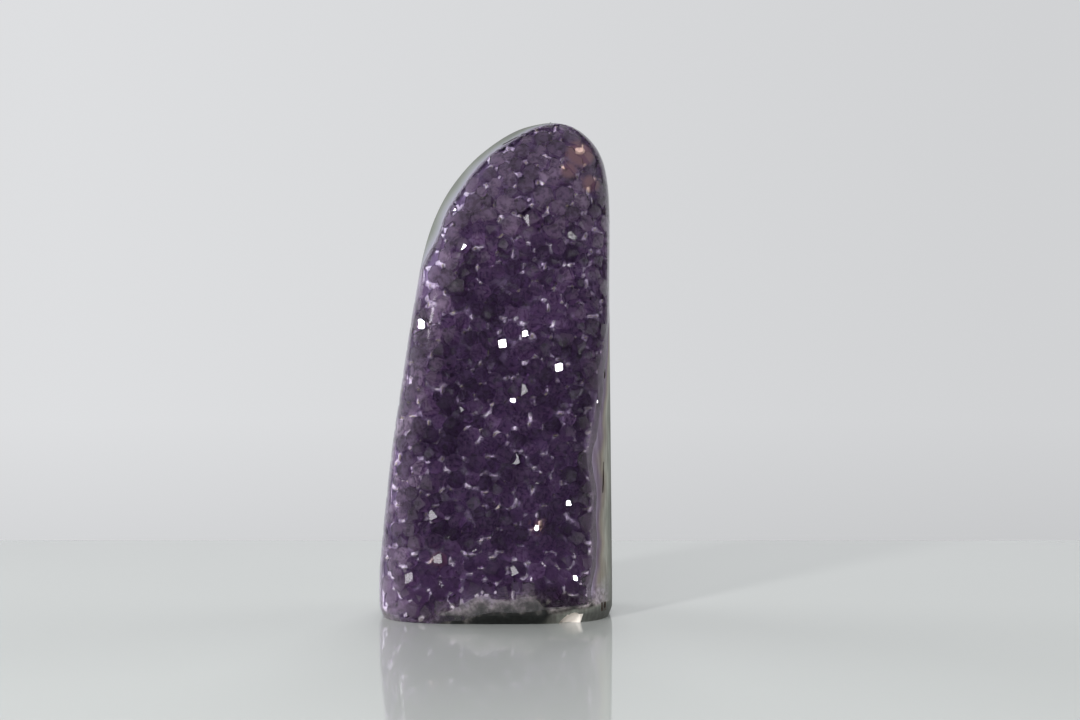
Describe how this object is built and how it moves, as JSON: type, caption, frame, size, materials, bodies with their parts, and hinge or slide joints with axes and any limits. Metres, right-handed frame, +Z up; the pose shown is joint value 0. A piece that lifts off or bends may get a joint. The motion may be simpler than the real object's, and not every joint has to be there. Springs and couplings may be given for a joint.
{
  "type": "amethyst cluster",
  "caption": "Upright slab of amethyst crystal points on its basalt rind, with a ground and polished rim, sawn flat below to stand by itself.",
  "frame": {"origin": "middle of the sawn foot, on the surface the stone stands on", "axes": "+Z up the stone's height, the crystals face -Y, +X to the right as the crystals are seen"},
  "size_m": [0.071, 0.0475, 0.15],
  "materials": {
    "amethyst": "glassy crystal faces, polished at the rim",
    "basalt": "polished at the rim, rough at the back"
  },
  "bodies": {
    "root": {"amethyst_crust": "amethyst", "basalt_rind": "basalt"}
  },
  "joints": []
}
